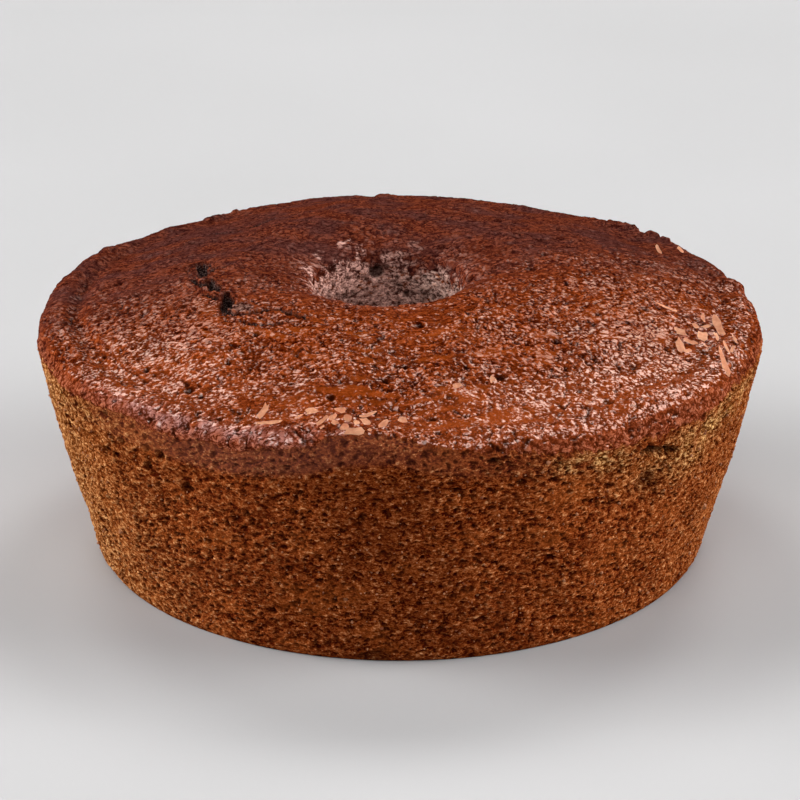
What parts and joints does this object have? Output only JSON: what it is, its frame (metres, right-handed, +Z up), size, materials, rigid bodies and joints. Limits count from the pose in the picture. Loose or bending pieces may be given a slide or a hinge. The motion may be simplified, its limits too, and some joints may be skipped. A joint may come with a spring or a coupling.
{
  "type": "chocolate ring cake",
  "caption": "Uncut ring-shaped chocolate cake with sloping sides, a domed glossy crust, a central hole and pale chocolate flakes on top.",
  "frame": {"origin": "centre of the cake's base, where it stands on its plate or board", "axes": "+Z up along the hole, -Y towards the side that the picture shows, +X to the right of that view"},
  "size_m": [0.2404, 0.2406, 0.0957],
  "materials": {
    "cake": "matte crumb on the sides and a glossy wrinkled crust on top"
  },
  "bodies": {
    "root": {"cake": "cake"}
  },
  "joints": []
}
